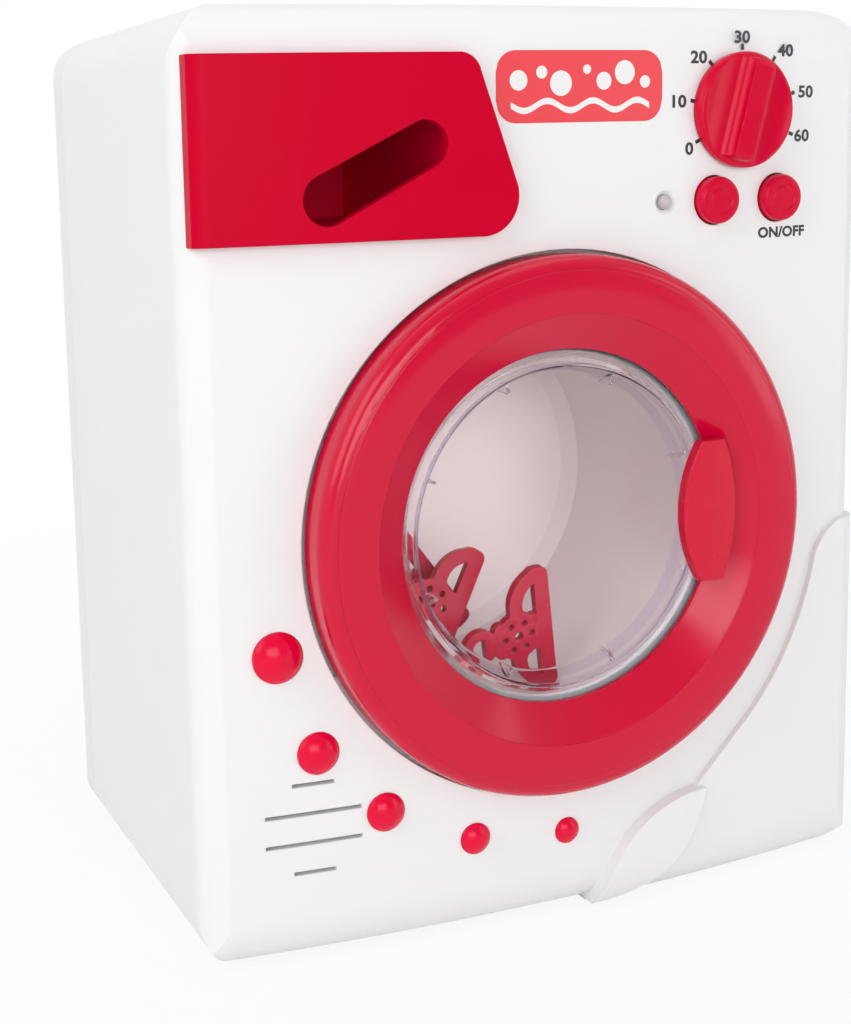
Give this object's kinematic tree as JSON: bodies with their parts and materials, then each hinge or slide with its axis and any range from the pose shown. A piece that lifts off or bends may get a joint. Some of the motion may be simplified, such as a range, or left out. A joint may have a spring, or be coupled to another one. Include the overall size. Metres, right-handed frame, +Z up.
{
  "type": "toy washing machine",
  "caption": "Toy front-loading washing machine: bowed moulded housing, hinged door with clear window, geared motor-driven drum, pull-out drawer, timer knob and push buttons",
  "frame": {"origin": "middle of the base, on the table", "axes": "X to the right as seen from the front, Y from the door to the back, Z up"},
  "size_m": [0.1544, 0.1072, 0.185],
  "materials": {
    "front_shell": "gloss",
    "rear_cover": "gloss",
    "rear_screws": "satin",
    "bubble_caps": "gloss",
    "led_lens": "gloss",
    "door_ring": "gloss",
    "door_window": "gloss",
    "window_retainer": "satin",
    "window_screws": "satin",
    "door_handle": "gloss",
    "door_hinge_pin": "satin",
    "drum": "satin",
    "drum_shaft": "satin",
    "drum_gear": "satin",
    "toy_hangers": "gloss",
    "idler_gear": "satin",
    "idler_axle": "satin",
    "motor": "satin",
    "motor_shaft": "satin",
    "motor_pinion": "satin",
    "gearbox_front": "satin",
    "gearbox_back": "satin",
    "gearbox_screws": "satin",
    "drum_bush": "satin",
    "knob": "gloss",
    "knob_shaft": "satin",
    "timer_switch": "satin",
    "button_left": "gloss",
    "button_right": "gloss",
    "pad_left": "matte",
    "pad_right": "matte",
    "circuit_board": "satin",
    "board_screws": "satin",
    "speaker": "satin",
    "drawer_front": "gloss",
    "drawer_tray": "gloss",
    "drawer_sleeve": "satin",
    "battery_cells": "satin",
    "battery_contacts": "satin",
    "battery_cover": "gloss",
    "battery_screw": "satin"
  },
  "bodies": {
    "housing": {"front_shell": "front_shell", "rear_cover": "rear_cover", "rear_screws": "rear_screws", "bubble_caps": "bubble_caps", "led_lens": "led_lens", "idler_axle": "idler_axle", "motor": "motor", "gearbox_front": "gearbox_front", "gearbox_back": "gearbox_back", "gearbox_screws": "gearbox_screws", "drum_bush": "drum_bush", "timer_switch": "timer_switch", "circuit_board": "circuit_board", "board_screws": "board_screws", "speaker": "speaker", "drawer_sleeve": "drawer_sleeve", "battery_cells": "battery_cells", "battery_contacts": "battery_contacts", "pad_left": "pad_left", "pad_right": "pad_right"},
    "door": {"door_ring": "door_ring", "door_window": "door_window", "window_retainer": "window_retainer", "window_screws": "window_screws", "door_handle": "door_handle", "door_hinge_pin": "door_hinge_pin"},
    "drum": {"drum": "drum", "drum_shaft": "drum_shaft", "drum_gear": "drum_gear", "toy_hangers": "toy_hangers"},
    "idler": {"idler_gear": "idler_gear"},
    "rotor": {"motor_shaft": "motor_shaft", "motor_pinion": "motor_pinion"},
    "knob": {"knob": "knob", "knob_shaft": "knob_shaft"},
    "button_left": {"button_left": "button_left"},
    "button_right": {"button_right": "button_right"},
    "drawer": {"drawer_front": "drawer_front", "drawer_tray": "drawer_tray"},
    "battery_cover": {"battery_cover": "battery_cover", "battery_screw": "battery_screw"}
  },
  "joints": [
    {"name": "door_hinge", "type": "hinge", "parent": "housing", "child": "door", "pos_m": [-0.05155, -0.04927, 0.0828], "axis": [0, 0, -1], "range_deg": [0, 100]},
    {"name": "drum_spin", "type": "hinge", "parent": "housing", "child": "drum", "pos_m": [-0.00125, -0.00112, 0.0828], "axis": [0, 1, 0], "continuous": true},
    {"name": "idler_spin", "type": "hinge", "parent": "housing", "child": "idler", "pos_m": [0.02081, 0.02863, 0.06429], "axis": [0, 1, 0], "continuous": true},
    {"name": "rotor_spin", "type": "hinge", "parent": "housing", "child": "rotor", "pos_m": [0.0392, 0.01263, 0.04886], "axis": [0, 1, 0], "continuous": true},
    {"name": "knob_turn", "type": "hinge", "parent": "housing", "child": "knob", "pos_m": [0.04085, -0.04738, 0.1639], "axis": [0, -1, 0], "range_deg": [-91.4, 131.8]},
    {"name": "button_left_press", "type": "slide", "parent": "housing", "child": "button_left", "axis": [0, 1, 0], "range_m": [0, 0.0012], "stiffness_N_per_m": 150, "springref_m": -0.002, "deforming": ["pad_left"]},
    {"name": "button_right_press", "type": "slide", "parent": "housing", "child": "button_right", "axis": [0, 1, 0], "range_m": [0, 0.0012], "stiffness_N_per_m": 150, "springref_m": -0.002, "deforming": ["pad_right"]},
    {"name": "drawer_slide", "type": "slide", "parent": "housing", "child": "drawer", "axis": [0, -1, 0], "range_m": [0, 0.032]},
    {"name": "battery_cover_lift", "type": "slide", "parent": "housing", "child": "battery_cover", "axis": [0, 1, 0], "range_m": [0, 0.012]}
  ],
  "couplings": [
    {"joint": "idler_spin", "follows": "drum_spin", "ratio": -5},
    {"joint": "rotor_spin", "follows": "drum_spin", "ratio": 25}
  ]
}
